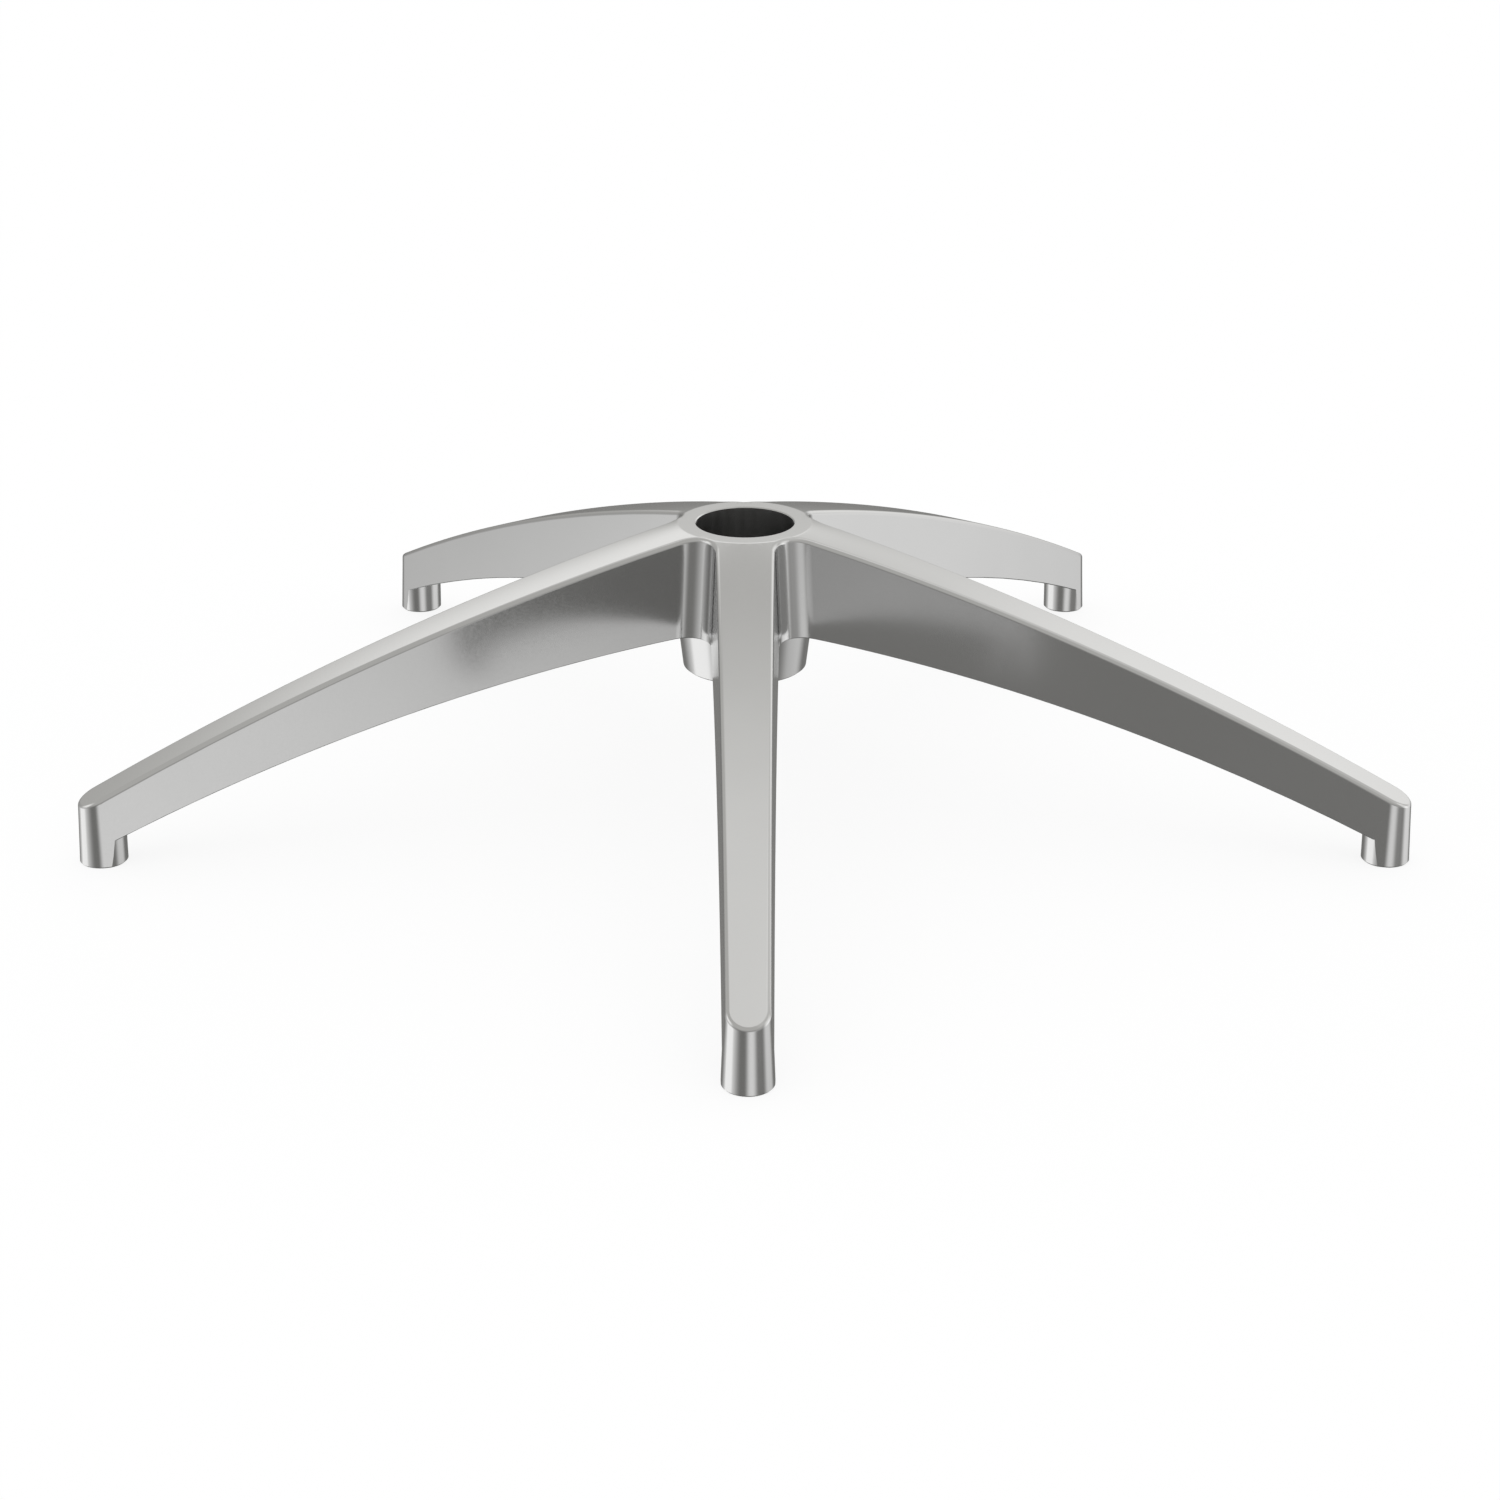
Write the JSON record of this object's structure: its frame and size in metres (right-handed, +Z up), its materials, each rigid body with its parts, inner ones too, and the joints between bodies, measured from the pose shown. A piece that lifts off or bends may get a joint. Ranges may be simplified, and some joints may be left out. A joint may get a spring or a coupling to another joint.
{
  "type": "office chair five star base",
  "caption": "Polished cast star base for a swivel chair: drafted, arched legs run from a hub with a gas column taper seat to caster bosses with stem sockets.",
  "frame": {"origin": "centre of the gas column bore at its mouth in the hub's top face", "axes": "+Z up along the bore, out of its mouth; -Y along the front leg, towards the viewer of the picture; +X to that viewer's right"},
  "size_m": [0.6506, 0.6198, 0.14],
  "materials": {
    "star_base": "polished"
  },
  "bodies": {
    "root": {"star_base": "star_base"}
  },
  "joints": []
}
